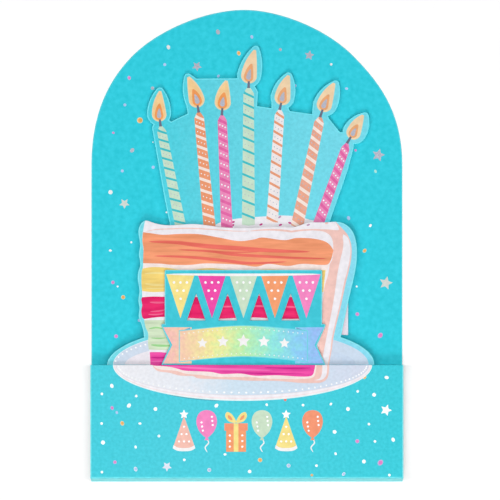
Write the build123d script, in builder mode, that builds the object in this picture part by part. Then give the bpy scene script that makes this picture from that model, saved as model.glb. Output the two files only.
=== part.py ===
"""Pop-up birthday card: a folded arch-topped card with die-cut layers held apart by folded strips.

The card lies on its back. X runs across it, Y runs up to the top of the arch and Z rises from the
table to the front panel. The origin is under the middle of the card. Heights called h in the lists
below are measured up the card from the top edge of the front panel.
"""

import math
import os

from build123d import *

os.makedirs("parts", exist_ok=True)

# The folded card
sheet = 0.4  # thickness of the card stock
card_width = 145.0
card_height = 220.0  # from the bottom fold to the top of the arch
arch_lean = 1.9  # how far the shoulders of the arch stand to the left of the middle
front_height = 52.35  # front panel, from its fold to its free top edge
fold_radius = 0.3  # inside radius of every crease
riser_lean = 14.0  # degrees that every riser leans towards the arch

# The free spaces between the layers, from the back panel forwards
candle_gap = 2.6
cake_gap = 2.6
plaque_pad_thickness = 1.5
plaque_clearance = 1.3

# The candle panel: seven flames on a panel with a plain tail behind the cake
flame_radius = 3.8
flame_border = 1.8  # width of the pale rim that is cut round a flame
tail_x = 1.1
tail_width = 92.0
tail_bottom = 13.7
tail_top = 61.0

# The cake panel
plate_x = -2.95
plate_half_width = 62.0
plate_half_height = 18.8
plate_tilt = 0.5  # degrees, right end up

# The plaque: a row of pennants over a ribbon with swallow tails
plaque_x = -1.6
plaque_tuck = 1.0  # how far the plaque reaches down behind the front panel
plaque_corner = 0.8
ribbon_width = 77.0
ribbon_height = 20.0
ribbon_notch = 4.5
pennant_count = 5
pennant_pitch = 14.6
bunting_height = 25.0
window_width = 8.6  # the openings between the pennants
window_height = 12.5
window_sill = 1.6
pad_size = 7.0
pad_spread = 26.0
ribbon_pad_height = 9.0
pennant_pad_height = 38.0

# The folded strips that hold the layers apart
strip_width = 12.0
strip_foot = 6.0
strip_spread = 30.0
tail_strip_height = 36.0
candle_strip_height = 95.0
front_strip_margin = 1.0  # from a strip's upper foot to the front panel's top edge

# Levels of the layers' undersides
candle_level = sheet + candle_gap
cake_level = candle_level + sheet + cake_gap
plaque_level = cake_level + sheet + plaque_pad_thickness
front_level = plaque_level + sheet + plaque_clearance
card_depth = front_level + sheet

# The corners of the folded sheet's middle line
lean = math.radians(riser_lean)
bend = fold_radius + sheet / 2
bottom_y = -card_height / 2
back_corner_y = bottom_y + sheet / 2 + bend - bend * (1 + math.sin(lean)) / math.cos(lean)
front_corner_y = back_corner_y + (card_depth - sheet) * math.tan(lean)
front_top_y = front_corner_y + front_height
arch_radius = card_width / 2
spring_y = card_height / 2 - arch_radius
shoulder = arch_radius * math.sqrt(0.5)

# Middle of the round part and tip of each flame that has a cut rim, as (x, h)
flames = [
    ((-40.9, 116.6), (-40.5, 127.1)),
    ((-23.3, 123.2), (-27.4, 133.6)),
    ((1.0, 134.4), (4.1, 146.5)),
    ((16.6, 124.3), (19.3, 134.1)),
    ((36.5, 121.1), (41.2, 130.4)),
    ((50.1, 108.1), (54.9, 115.5)),
]

# Outline of the panel between the flames, from its lower left corner round to its lower right one
candle_outline = [
    (-34.8, 60.0),
    (-38.2, 76.5),
    (-44.2, 110.4),
    (-40.8, 116.6),
    (-35.3, 113.0),
    (-27.6, 116.7),
    (-28.3, 121.0),
    (-26.2, 133.0),
    (1.4, 133.2),
    (5.2, 127.0),
    (4.8, 120.2),
    (11.4, 119.3),
    (11.3, 125.9),
    (16.8, 124.3),
    (20.1, 117.9),
    (30.3, 116.5),
    (30.8, 122.5),
    (36.3, 121.1),
    (38.2, 114.4),
    (43.3, 108.1),
    (49.8, 108.1),
    (49.8, 101.1),
    (46.9, 90.2),
    (36.4, 60.0),
]

# Points on the cake's uneven outline, from its left foot over the icing to its right foot
cake_outline = [
    (-46.9, 8.0),
    (-47.7, 12.3),
    (-48.4, 17.0),
    (-50.2, 22.8),
    (-49.9, 26.2),
    (-50.4, 30.0),
    (-49.9, 33.6),
    (-50.6, 38.8),
    (-50.4, 43.2),
    (-49.5, 46.6),
    (-50.1, 51.0),
    (-49.6, 55.0),
    (-50.3, 60.6),
    (-49.8, 64.3),
    (-47.3, 66.8),
    (-44.0, 66.1),
    (-38.0, 64.8),
    (-25.0, 65.3),
    (-11.6, 63.8),
    (4.0, 63.7),
    (17.5, 63.9),
    (23.3, 64.2),
    (27.3, 65.7),
    (30.8, 66.1),
    (37.0, 66.1),
    (43.4, 66.1),
    (46.2, 64.9),
    (49.3, 61.4),
    (50.6, 57.6),
    (51.1, 51.0),
    (50.5, 44.6),
    (48.0, 33.4),
    (44.3, 16.0),
    (42.6, 8.0),
]


def on_card(points):
    """Turn (x, h) pairs into positions on the card."""
    return [(x, front_top_y + h) for x, h in points]


def keep(builder, name):
    """Name a finished piece and write it to its own file."""
    builder.part.label = name
    export_step(builder.part, f"parts/{name}.step")


# One sheet makes the arch-topped back panel, the leaning base strip and the front panel
with BuildPart() as folded_card:
    with BuildSketch(Plane.YZ):
        with BuildLine():
            FilletPolyline(
                (card_height / 2, sheet / 2),
                (back_corner_y, sheet / 2),
                (front_corner_y, card_depth - sheet / 2),
                (front_top_y, card_depth - sheet / 2),
                radius=bend,
            )
        trace(line_width=sheet)
    extrude(amount=card_width / 2, both=True)
    with BuildSketch():
        with BuildLine():
            arch = Spline(
                (-card_width / 2, spring_y),
                (-shoulder - arch_lean, spring_y + shoulder),
                (-0.7 * arch_lean, card_height / 2),
                (shoulder - arch_lean, spring_y + shoulder),
                (card_width / 2, spring_y),
                tangents=((0, 1), (1, 1), (1, 0), (1, -1), (0, -1)),
            )
            Polyline(arch @ 1, (card_width / 2, bottom_y), (-card_width / 2, bottom_y), arch @ 0)
        make_face()
    extrude(amount=card_depth, mode=Mode.INTERSECT)
keep(folded_card, "folded_card")

# The candle panel: a pointed flame with a rim stands at the head of each outer candle
with BuildPart() as candle_panel:
    with BuildSketch(Plane.XY.offset(candle_level)):
        for flame in flames:
            middle, tip = (Vector(*point) for point in on_card(flame))
            axis = (tip - middle).normalized()
            side = axis.rotate(Axis.Z, 90) * flame_radius
            with BuildLine():
                ThreePointArc(middle + side, middle - axis * flame_radius, middle - side)
                TangentArc(middle - side, tip, tangent=axis)
                TangentArc(middle + side, tip, tangent=axis)
            make_face()
        offset(amount=flame_border, kind=Kind.ARC)
    extrude(amount=sheet)
    with BuildSketch(Plane.XY.offset(candle_level)):
        with BuildLine():
            Polyline(*on_card(candle_outline), close=True)
        make_face()
        with Locations((tail_x, front_top_y + (tail_top + tail_bottom) / 2)):
            Rectangle(tail_width, tail_top - tail_bottom)
    extrude(amount=sheet)
keep(candle_panel, "candle_panel")

# The cake stands on an oval plate, whose lower half is behind the front panel
with BuildPart() as cake_panel:
    with BuildSketch(Plane.XY.offset(cake_level)):
        with BuildLine():
            cake_edge = Spline(*on_card(cake_outline))
            Line(cake_edge @ 1, cake_edge @ 0)
        make_face()
        with Locations((plate_x, front_top_y)):
            Ellipse(plate_half_width, plate_half_height, rotation=plate_tilt)
    extrude(amount=sheet)
keep(cake_panel, "cake_panel")

# The plaque is cut through between the pennants
ribbon_top_y = front_top_y - plaque_tuck + ribbon_height
bunting_width = pennant_count * pennant_pitch
window_y = ribbon_top_y + window_sill
with BuildPart() as plaque:
    with BuildSketch(Plane.XY.offset(plaque_level)) as ribbon:
        with BuildLine():
            Polyline(
                (plaque_x - ribbon_width / 2, ribbon_top_y),
                (plaque_x - ribbon_width / 2 + ribbon_notch, ribbon_top_y - ribbon_height / 2),
                (plaque_x - ribbon_width / 2, ribbon_top_y - ribbon_height),
                (plaque_x + ribbon_width / 2, ribbon_top_y - ribbon_height),
                (plaque_x + ribbon_width / 2 - ribbon_notch, ribbon_top_y - ribbon_height / 2),
                (plaque_x + ribbon_width / 2, ribbon_top_y),
                close=True,
            )
        make_face()
        fillet(ribbon.vertices(), radius=plaque_corner)
    extrude(amount=sheet)
    with BuildSketch(Plane.XY.offset(plaque_level)) as bunting:
        with Locations((plaque_x, ribbon_top_y + bunting_height / 2)):
            Rectangle(bunting_width, bunting_height)
        fillet(bunting.vertices().group_by(Axis.Y)[-1], radius=plaque_corner)
    extrude(amount=sheet)
    with BuildSketch(Plane.XY.offset(plaque_level)):
        for gap in range(pennant_count - 1):
            window_x = plaque_x + (gap - (pennant_count - 2) / 2) * pennant_pitch
            with BuildLine():
                Polyline(
                    (window_x - window_width / 2, window_y),
                    (window_x + window_width / 2, window_y),
                    (window_x, window_y + window_height),
                    close=True,
                )
            make_face()
    extrude(amount=sheet, mode=Mode.SUBTRACT)
keep(plaque, "plaque")

# Foam pads lift the plaque off the cake
pads = {
    "left": (plaque_x - pad_spread, ribbon_pad_height),
    "right": (plaque_x + pad_spread, ribbon_pad_height),
    "top": (plaque_x, pennant_pad_height),
}
for place, centre in pads.items():
    with BuildPart() as pad:
        with BuildSketch(Plane.XY.offset(cake_level + sheet)):
            with Locations(*on_card([centre])):
                Rectangle(pad_size, pad_size)
        extrude(amount=plaque_pad_thickness)
    keep(pad, f"plaque_pad_{place}")

# Each strip has a foot on the layer below it, a leaning riser and a foot under the layer above it
front_riser = (front_level - cake_level - 2 * sheet) * math.tan(lean)
front_strip_height = -(front_strip_margin + strip_foot + front_riser)
strips = {
    "candle_strip_left": (-strip_spread, tail_strip_height, sheet, candle_level),
    "candle_strip_right": (strip_spread, tail_strip_height, sheet, candle_level),
    "candle_strip_top": (0, candle_strip_height, sheet, candle_level),
    "cake_strip_left": (-strip_spread, tail_strip_height, candle_level + sheet, cake_level),
    "cake_strip_right": (strip_spread, tail_strip_height, candle_level + sheet, cake_level),
    "front_strip_left": (plate_x - strip_spread, front_strip_height, cake_level + sheet, front_level),
    "front_strip_right": (plate_x + strip_spread, front_strip_height, cake_level + sheet, front_level),
}
for name, (middle_x, height, low, high) in strips.items():
    foot_y = front_top_y + height
    head_y = foot_y + (high - low - sheet) * math.tan(lean)
    with BuildPart() as strip:
        with BuildSketch(Plane.YZ.offset(middle_x - strip_width / 2)):
            with BuildLine():
                FilletPolyline(
                    (foot_y - strip_foot, low + sheet / 2),
                    (foot_y, low + sheet / 2),
                    (head_y, high - sheet / 2),
                    (head_y + strip_foot, high - sheet / 2),
                    radius=bend,
                )
            trace(line_width=sheet)
        extrude(amount=strip_width)
    keep(strip, name)
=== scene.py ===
"""Looks of a pop-up birthday card that lies on its back, seen from straight above.

Every sheet of the card is one closed mesh. Its printed side is divided into fields of ink, which are
polygons in millimetres: x from the middle of the card, and h up the card from the front panel's top
edge. Later fields cover earlier ones.
"""

from math import cos, pi, radians, sin, sqrt

import bpy
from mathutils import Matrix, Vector
from mathutils.geometry import delaunay_2d_cdt


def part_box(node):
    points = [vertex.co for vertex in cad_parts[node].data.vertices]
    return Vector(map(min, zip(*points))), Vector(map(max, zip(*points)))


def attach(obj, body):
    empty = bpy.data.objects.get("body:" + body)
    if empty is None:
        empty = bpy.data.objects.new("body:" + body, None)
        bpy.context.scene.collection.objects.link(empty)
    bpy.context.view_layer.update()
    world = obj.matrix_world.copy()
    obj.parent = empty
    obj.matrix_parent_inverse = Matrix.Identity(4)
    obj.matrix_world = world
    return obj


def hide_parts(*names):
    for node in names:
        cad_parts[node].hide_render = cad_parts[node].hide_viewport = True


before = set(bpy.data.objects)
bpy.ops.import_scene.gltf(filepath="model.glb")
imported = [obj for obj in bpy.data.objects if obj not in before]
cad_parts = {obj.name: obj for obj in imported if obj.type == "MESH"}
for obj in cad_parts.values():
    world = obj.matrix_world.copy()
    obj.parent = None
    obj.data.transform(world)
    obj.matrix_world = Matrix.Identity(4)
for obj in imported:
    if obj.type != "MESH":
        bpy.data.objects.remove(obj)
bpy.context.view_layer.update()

MM = 0.001

# Sizes of the folded sheet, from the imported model
card_low, card_high = (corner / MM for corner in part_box("folded_card"))
HALF_WIDTH = (card_high.x - card_low.x) / 2
CARD_DEPTH = card_high.z
SHEET = (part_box("cake_panel")[1].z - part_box("cake_panel")[0].z) / MM
fold_corners = [vertex.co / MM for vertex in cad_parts["folded_card"].data.vertices]
FRONT_TOP_Y = max(corner.y for corner in fold_corners if corner.z > CARD_DEPTH / 2)
CREASE_RADIUS = 0.3  # inside radius of the two folds
RISER_LEAN = radians(14)
EDGE = 0.12  # rounding of a cut edge
REACH = EDGE - 0.002  # from a printed face out to its cut edge, a hair inside the CAD outline
HIGHLIGHT_WIDTH = 0.42  # width of the painted highlight along a cut edge, a pale band of the sheet's ink where the edge catches light

# Inks, as sRGB colours
INKS = {
    "turquoise": 0x2ED0E2,
    # The pale rim inks here are painted highlights along the sheets' cut edges, where an edge catches
    # light; the plaque's one also outlines its printed ribbon.
    "turquoise_rim": 0x50D8E7,
    "front_rim": 0x80E8F1,
    "candle_rim": 0x72ECFC,
    "cake_rim": 0x8AEEFA,
    # Base strip and its folds, paler than the front: painted sheen on the steep strip and painted
    # highlights along the two folds
    "riser_turquoise": 0x76F2F9,
    "riser_foot": 0x8CF6FB,
    "crease": 0x6CE6F0,
    "plaque_turquoise": 0x3EC8D9,
    "plaque_rim": 0x6ED8E6,
    "orange": 0xE8AC62,
    "pale_orange": 0xFAD098,
    "pink": 0xE284C6,
    "pale_pink": 0xCCB2E2,
    "mint_spot": 0xACE6DE,
    "lilac": 0xB4CBF3,
    "pale_lilac": 0xE4E8F6,
    "coral": 0xE67E70,
    "champagne": 0xD6DCD6,
    "candle_mint": 0xC8E2CB,
    "candle_teal": 0x3EC0C8,
    "candle_orange": 0xEC9970,
    "candle_peach": 0xEBA88F,
    "candle_pink": 0xED8ABB,
    "candle_magenta": 0xE366A6,
    "candle_white": 0xF2EBEB,
    "stripe_white": 0xFBE8DF,
    "stripe_orange": 0xE99C78,
    "flame_edge": 0xF4D6AC,
    "flame": 0xF5CE94,
    "pale_flame": 0xF2D5AE,
    "flame_heart": 0xF19C5A,
    "pale_heart": 0xECAA78,
    "wick": 0x686E82,
    "sprinkle": 0xC43486,
    "lilac_sprinkle": 0xBE98B6,
    "plate_rim": 0xF4F1F7,
    "icing": 0xF0EDF3,
    "cream": 0xF7E8E4,
    "peach_icing": 0xF2C7BE,
    "plate_line": 0xF6E6EA,
    "lip_edge": 0xECF8FC,
    "lip_shadow": 0x4AACBC,
    "plate_shadow": 0xE2DEE6,
    "party_yellow": 0xF9E48E,
    "party_magenta": 0xF04CAA,
    "party_mint": 0xCCE2C8,
    "party_orange": 0xF6A070,
    "party_pink": 0xF688C4,
    "party_peach": 0xF7C2B4,
    "party_coral": 0xF59874,
    "string": 0xFAF6F6,
    "ribbon_fold": 0x78A8CE,
}

# Inks of the cake, laid on with level brush strokes
CAKE_INKS = {
    "sponge": 0xF19A70,
    "sponge_stroke": 0xE86C5E,
    "yellow": 0xF4D376,
    "yellow_light": 0xFAE296,
    "crimson": 0xE61E69,
    "crimson_light": 0xF26892,
    "mint_layer": 0xD0E2C2,
    "mint_stroke": 0x96D08A,
    "magenta": 0xEB48A3,
    "magenta_light": 0xF16EB6,
    "magenta_dark": 0xCE1E8A,
}

PAPERS = {"core": 0xF0F0EC, "tail": 0xEEE5F0, "white_card": 0xEEECE7}
# The grey foil is the same foil painted darker: a painted shade for foil that mirrors little light where
# it lies.
FOILS = {"foil": 0xF6F7FA, "grey_foil": 0xBEC1D0}

# Inks and foil that change across the card, as left and right end, spread of the grain, share of metal,
# and tints at shares of the way from left to right
GRADED_INKS = {
    "rainbow": (-40, 37, 0.065, 0.2, [
        (0, 0xFABABE), (0.16, 0xFCD4B0), (0.32, 0xF4F0A0), (0.5, 0xBEF2B4),
        (0.68, 0x92ECE2), (0.84, 0x8CD0F8), (1, 0xA0B8FA),
    ]),
    "candle_turquoise": (-38, 44, 0.065, 0, [(0, 0x4CD2E2), (0.28, 0x5ED4E4), (1, 0x74DCED)]),
    "front_turquoise": (-72, 72, 0.065, 0, [
        (0, 0x40CFDF), (0.28, 0x47CFDF), (0.55, 0x45CFDF), (0.78, 0x3CCFDE), (1, 0x35CEDD),
    ]),
    "cake_turquoise": (-62, 58, 0.065, 0, [(0, 0x72DBE8), (1, 0x88DDF2)]),
    "plate": (-62, 57, 0.045, 0, [
        (0, 0xEEEEF3), (0.28, 0xE8ECF4), (0.48, 0xCFE3F2), (0.75, 0xD0E0F1), (1, 0xD6DCED),
    ]),
    "far_plate": (-62, 57, 0.045, 0, [(0, 0xD0DCEC), (1, 0xCCDCEE)]),
    "far_well": (-57, 51, 0.045, 0, [(0, 0xECE6EE), (0.3, 0xEEECF3), (1, 0xC4D6EB)]),
}

# Finishes, as spread, scale and stretch of the mottling, scale and strength of the tooth, and values
INK_TOOTH = (3200, 0.12)
INK_VALUES = {"Roughness": 0.5, "Specular IOR Level": 0.45}
INK = ((0.06, 420), INK_TOOTH, INK_VALUES)
BRUSHED_INK = ((0.12, 520, (0.12, 1, 1)), INK_TOOTH, INK_VALUES)
FOIL = ((0.06, 900), (1800, 0.1), {"Roughness": 0.3})
FOIL_METAL = {"foil": 0.55, "grey_foil": 0.5}
PAPER = ((0.04, 1500), (2600, 0.25), {"Roughness": 0.85, "Specular IOR Level": 0.2})

FIBRE = 0.12  # how much of the pale fibres shows, as a share of the spread between two tones
MOTTLE_ENDS = (0.3, 0.7)  # noise values that give the darker and the lighter tone
TOOTH_DETAIL = 4  # octaves of the tooth's noise
TOOTH_DEPTH = 0.05 * MM
CLOUD_SCALE = 420
DRIFT = 0.24  # how far clouds move a graded tint, as a share of its way
GRAIN_SCALE = 700
MIX_COLOURS = (6, 7)  # the colour sockets of a mix node
MIX_RESULT = 2


def linear(rgb):
    """Turn an sRGB colour into linear values with full alpha."""
    shares = [(rgb >> shift & 255) / 255 for shift in (16, 8, 0)]
    return [s / 12.92 if s <= 0.04045 else ((s + 0.055) / 1.055) ** 2.4 for s in shares] + [1.0]


# Materials


def feed(tree, node, inputs):
    """Link a node's inputs to sockets or set plain values on them, and return its outputs."""
    for key, source in inputs.items():
        if isinstance(source, bpy.types.NodeSocket):
            tree.links.new(source, node.inputs[key])
        else:
            node.inputs[key].default_value = source
    return node.outputs


def add_node(tree, kind, inputs):
    """Add a node, feed it and return its outputs."""
    return feed(tree, tree.nodes.new(kind), inputs)


def new_material(name):
    """Make a node material and return it with its node tree."""
    material = bpy.data.materials.new(name)
    material.use_nodes = True
    return material, material.node_tree


def finished(material, inputs):
    """Feed the material's shader and return the material."""
    feed(material.node_tree, material.node_tree.nodes["Principled BSDF"], inputs)
    return material


def math_of(tree, operation, *terms):
    """The result of an operation on sockets and plain numbers."""
    node = tree.nodes.new("ShaderNodeMath")
    node.operation = operation
    return feed(tree, node, dict(enumerate(terms)))["Value"]


def share_of(tree, value, low, high):
    """Where a value lies between two ends, as a share of the way."""
    inputs = {"Value": value, "From Min": low, "From Max": high}
    return add_node(tree, "ShaderNodeMapRange", inputs)["Result"]


def place_of(tree):
    """The place on the piece, in metres."""
    return add_node(tree, "ShaderNodeTexCoord", {})["Object"]


def noise(tree, scale, stretch=(1, 1, 1), detail=5):
    """A noise with its scale in waves per metre and its detail in octaves."""
    place = add_node(tree, "ShaderNodeMapping", {"Vector": place_of(tree), "Scale": stretch})["Vector"]
    inputs = {"Vector": place, "Scale": scale, "Detail": detail}
    return add_node(tree, "ShaderNodeTexNoise", inputs)["Fac"]


def bump(tree, height, strength, depth):
    """A surface that a height makes uneven."""
    inputs = {"Height": height, "Strength": strength, "Distance": depth}
    return add_node(tree, "ShaderNodeBump", inputs)["Normal"]


def tooth_of(tree, scale, strength):
    """The fine bump of card stock."""
    return bump(tree, noise(tree, scale, detail=TOOTH_DETAIL), strength, TOOTH_DEPTH)


def tones(rgb, spread):
    """A darker and a lighter tone of a colour, where fewer or more fibres show."""
    base = linear(rgb)[:3]
    dark = [max(0.0, value * (1 - spread) - FIBRE * spread) for value in base]
    light = [min(1.0, value * (1 + spread) + FIBRE * spread) for value in base]
    return dark + [1.0], light + [1.0]


def ramp(tree, value, stops):
    """The colour for a value, between (position, linear colour) stops."""
    node = tree.nodes.new("ShaderNodeValToRGB")
    elements = node.color_ramp.elements
    while len(elements) < len(stops):
        elements.new(0.5)
    for element, (position, colour) in zip(elements, stops):
        element.position = position
        element.color = colour
    return feed(tree, node, {"Fac": value})["Color"]


def mottled(tree, rgb, spread, scale, stretch=(1, 1, 1)):
    """A colour whose darker and lighter tones are mixed by a soft noise."""
    stops = list(zip(MOTTLE_ENDS, tones(rgb, spread)))
    return ramp(tree, noise(tree, scale, stretch), stops)


def card_material(name, rgb, mottling, tooth, values):
    """Ink, foil or bare card: a mottled colour over the tooth of the stock."""
    material, tree = new_material(name)
    inputs = {"Base Color": mottled(tree, rgb, *mottling), "Normal": tooth_of(tree, *tooth)}
    return finished(material, {**inputs, **values})


def graded_material(name, left, right, spread, metallic, stops):
    """Ink or foil whose tint changes unevenly from left to right."""
    material, tree = new_material(name)
    x = add_node(tree, "ShaderNodeSeparateXYZ", {"Vector": place_of(tree)})["X"]
    drift = math_of(tree, "MULTIPLY_ADD", noise(tree, CLOUD_SCALE), DRIFT, -DRIFT / 2)
    uneven = math_of(tree, "ADD", share_of(tree, x, left * MM, right * MM), drift)
    inputs = {"Factor": share_of(tree, noise(tree, GRAIN_SCALE), *MOTTLE_ENDS)}
    for number, socket in enumerate(MIX_COLOURS):
        toned = [(position, tones(rgb, spread)[number]) for position, rgb in stops]
        inputs[socket] = ramp(tree, uneven, toned)
    mix = tree.nodes.new("ShaderNodeMix")
    mix.data_type = "RGBA"
    colour = feed(tree, mix, inputs)[MIX_RESULT]
    inputs = {"Base Color": colour, "Normal": tooth_of(tree, 1500, 0.1)}
    return finished(material, {**inputs, "Metallic": metallic, "Roughness": 0.45})


def foam_material(name, rgb):
    """White closed-cell foam."""
    material, tree = new_material(name)
    cells = add_node(tree, "ShaderNodeTexVoronoi", {"Vector": place_of(tree), "Scale": 3500})["Distance"]
    inputs = {"Base Color": mottled(tree, rgb, 0.03, 2500), "Normal": bump(tree, cells, 0.4, 0.1 * MM)}
    return finished(material, {**inputs, "Roughness": 0.9})


MATERIALS = {name: graded_material(name, *row) for name, row in GRADED_INKS.items()}
MATERIALS["foam"] = foam_material("foam", 0xF3F3F0)
for colours, finish in ((INKS, INK), (CAKE_INKS, BRUSHED_INK), (PAPERS, PAPER), (FOILS, FOIL)):
    MATERIALS.update({name: card_material(name, rgb, *finish) for name, rgb in colours.items()})
for name, metallic in FOIL_METAL.items():
    finished(MATERIALS[name], {"Metallic": metallic})


# Plane shapes, as lists of (x, h) points


def half_oval(x, half_width, half_height, count=72):
    """Half an ellipse from right to left over h = 0, or under it for a negative height."""
    turns = [pi * i / count for i in range(count + 1)]
    return [(x + half_width * cos(turn), half_height * sin(turn)) for turn in turns]


def oval(x, h, half_width, half_height, turn, count=18):
    """An ellipse turned by an angle in degrees."""
    along, across = cos(radians(turn)), sin(radians(turn))
    points = []
    for i in range(count):
        a = half_width * cos(2 * pi * i / count)
        b = half_height * sin(2 * pi * i / count)
        points.append((x + a * along - b * across, h + a * across + b * along))
    return points


def circle(x, h, radius, count=18):
    return oval(x, h, radius, radius, 0, count)


def star(x, h, radius, turn=90, waist=0.48):
    """A five-pointed star, with its waist as a share of its radius."""
    corners = []
    for i in range(10):
        reach = radius if i % 2 == 0 else radius * waist
        angle = radians(turn + 36 * i)
        corners.append((x + reach * cos(angle), h + reach * sin(angle)))
    return corners


def block(x, half_width, low, high):
    """A rectangle between two heights."""
    return [(x - half_width, low), (x + half_width, low), (x + half_width, high), (x - half_width, high)]


def moved(shape, x, side=1):
    """Move a shape to the right by x, mirrored first where the side is -1."""
    return [(x + side * dx, h) for dx, h in shape]


def curve(points, closed=False, steps=6):
    """Sample a smooth curve through the points."""
    points = [Vector(point) for point in points]
    count = len(points)
    out = []
    for i in range(count if closed else count - 1):
        near = [i - 1, i, i + 1, i + 2]
        if not closed:
            near = [min(max(k, 0), count - 1) for k in near]
        p0, p1, p2, p3 = (points[k % count] for k in near)
        for step in range(steps):
            t = step / steps
            bend = (2 * p0 - 5 * p1 + 4 * p2 - p3) * t * t + (3 * p1 - p0 - 3 * p2 + p3) * t * t * t
            out.append(tuple(0.5 * (2 * p1 + (p2 - p0) * t + bend)))
    if not closed:
        out.append(tuple(points[-1]))
    return out


def stroke(points, width):
    """A brush stroke along a smooth line, pointed at both ends."""
    line = [Vector(point) for point in curve(points)]
    last = len(line) - 1
    left, right = [], []
    for i, spot in enumerate(line):
        along = (line[min(i + 1, last)] - line[max(i - 1, 0)]).normalized()
        across = Vector((-along.y, along.x)) * width / 2 * sin(pi * i / last) ** 0.5
        left.append(tuple(spot + across))
        right.append(tuple(spot - across))
    return left + right[-2:0:-1]


def spaced(points, gap):
    """Points at even distances along an open line."""
    line = [Vector(point) for point in points]
    out, carry = [], gap / 2
    for start, end in zip(line, line[1:]):
        length = (end - start).length
        while carry <= length:
            out.append(tuple(start.lerp(end, carry / length)))
            carry += gap
        carry -= length
    return out


BLUNT = 0.91  # share of the way to the meeting of its sides that a flame reaches
FLAT_SIDE = 0.25  # bulges of a flame's two sides, as shares of a full arc
FULL_SIDE = 1.15


def flame_shape(middle, tip, radius, lean, steps=10):
    """A round foot with one bulging and one nearly straight side, and a blunt tip."""
    middle, tip = Vector(middle), Vector(tip)
    length = (tip - middle).length / BLUNT
    along = (tip - middle).normalized()
    across = Vector((along.y, -along.x))
    big = (length * length + radius * radius) / (2 * radius)

    def side(up, bulge):
        straight = radius * (1 - up / length)
        return straight + bulge * (sqrt(big * big - up * up) - big + radius - straight)

    right_bulge, left_bulge = (FLAT_SIDE, FULL_SIDE) if lean > 0 else (FULL_SIDE, FLAT_SIDE)
    outline = []
    for i in range(2 * steps + 1):
        turn = pi * i / (2 * steps)
        outline.append(middle - across * radius * cos(turn) - along * radius * sin(turn))
    ups = [BLUNT * length * i / steps for i in range(1, steps + 1)]
    outline += [middle + across * side(up, right_bulge) + along * up for up in ups]
    outline += [middle - across * side(up, left_bulge) + along * up for up in reversed(ups)]
    return [tuple(spot) for spot in outline]


# Sheets


def turned_left(loop):
    """Return a closed loop that runs anticlockwise."""
    doubled = sum(a[0] * b[1] - b[0] * a[1] for a, b in zip(loop, loop[1:] + loop[:1]))
    return list(loop) if doubled > 0 else list(loop)[::-1]


def mitre(before, here, after):
    """The way out of an anticlockwise corner that moves both its sides by one unit."""
    first = (Vector(here) - Vector(before)).normalized()
    second = (Vector(after) - Vector(here)).normalized()
    out_a = Vector((first.y, -first.x))
    out_b = Vector((second.y, -second.x))
    return (out_a + out_b) / max(0.3, 1 + out_a.dot(out_b))


def grown(loop, amount):
    """Move a closed anticlockwise loop outwards by an amount."""
    around = zip(loop[-1:] + loop[:-1], loop, loop[1:] + loop[:1])
    return [tuple(Vector(here) + amount * mitre(before, here, after)) for before, here, after in around]


def outline_of(node, level):
    """Read the loops round a CAD sheet's face at a level in metres, the longest one first."""
    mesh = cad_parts[node].data
    spots = {}
    for vertex in mesh.vertices:
        if abs(vertex.co.z - level) < 1e-6:
            spots[vertex.index] = (round(vertex.co.x / MM, 3), round(vertex.co.y / MM - FRONT_TOP_Y, 3))
    edges = set()
    for face in mesh.polygons:
        if all(index in spots for index in face.vertices):
            corners = [spots[index] for index in face.vertices]
            for pair in zip(corners, corners[1:] + corners[:1]):
                if pair[::-1] in edges:
                    edges.remove(pair[::-1])
                elif pair[0] != pair[1]:
                    edges.add(pair)
    onward = dict(sorted(edges))
    loops = []
    while onward:
        start, here = onward.popitem()
        loop = [start]
        while here != start:
            loop.append(here)
            here = onward.pop(here)
        loops.append(loop)
    return sorted(loops, key=len, reverse=True)


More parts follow.
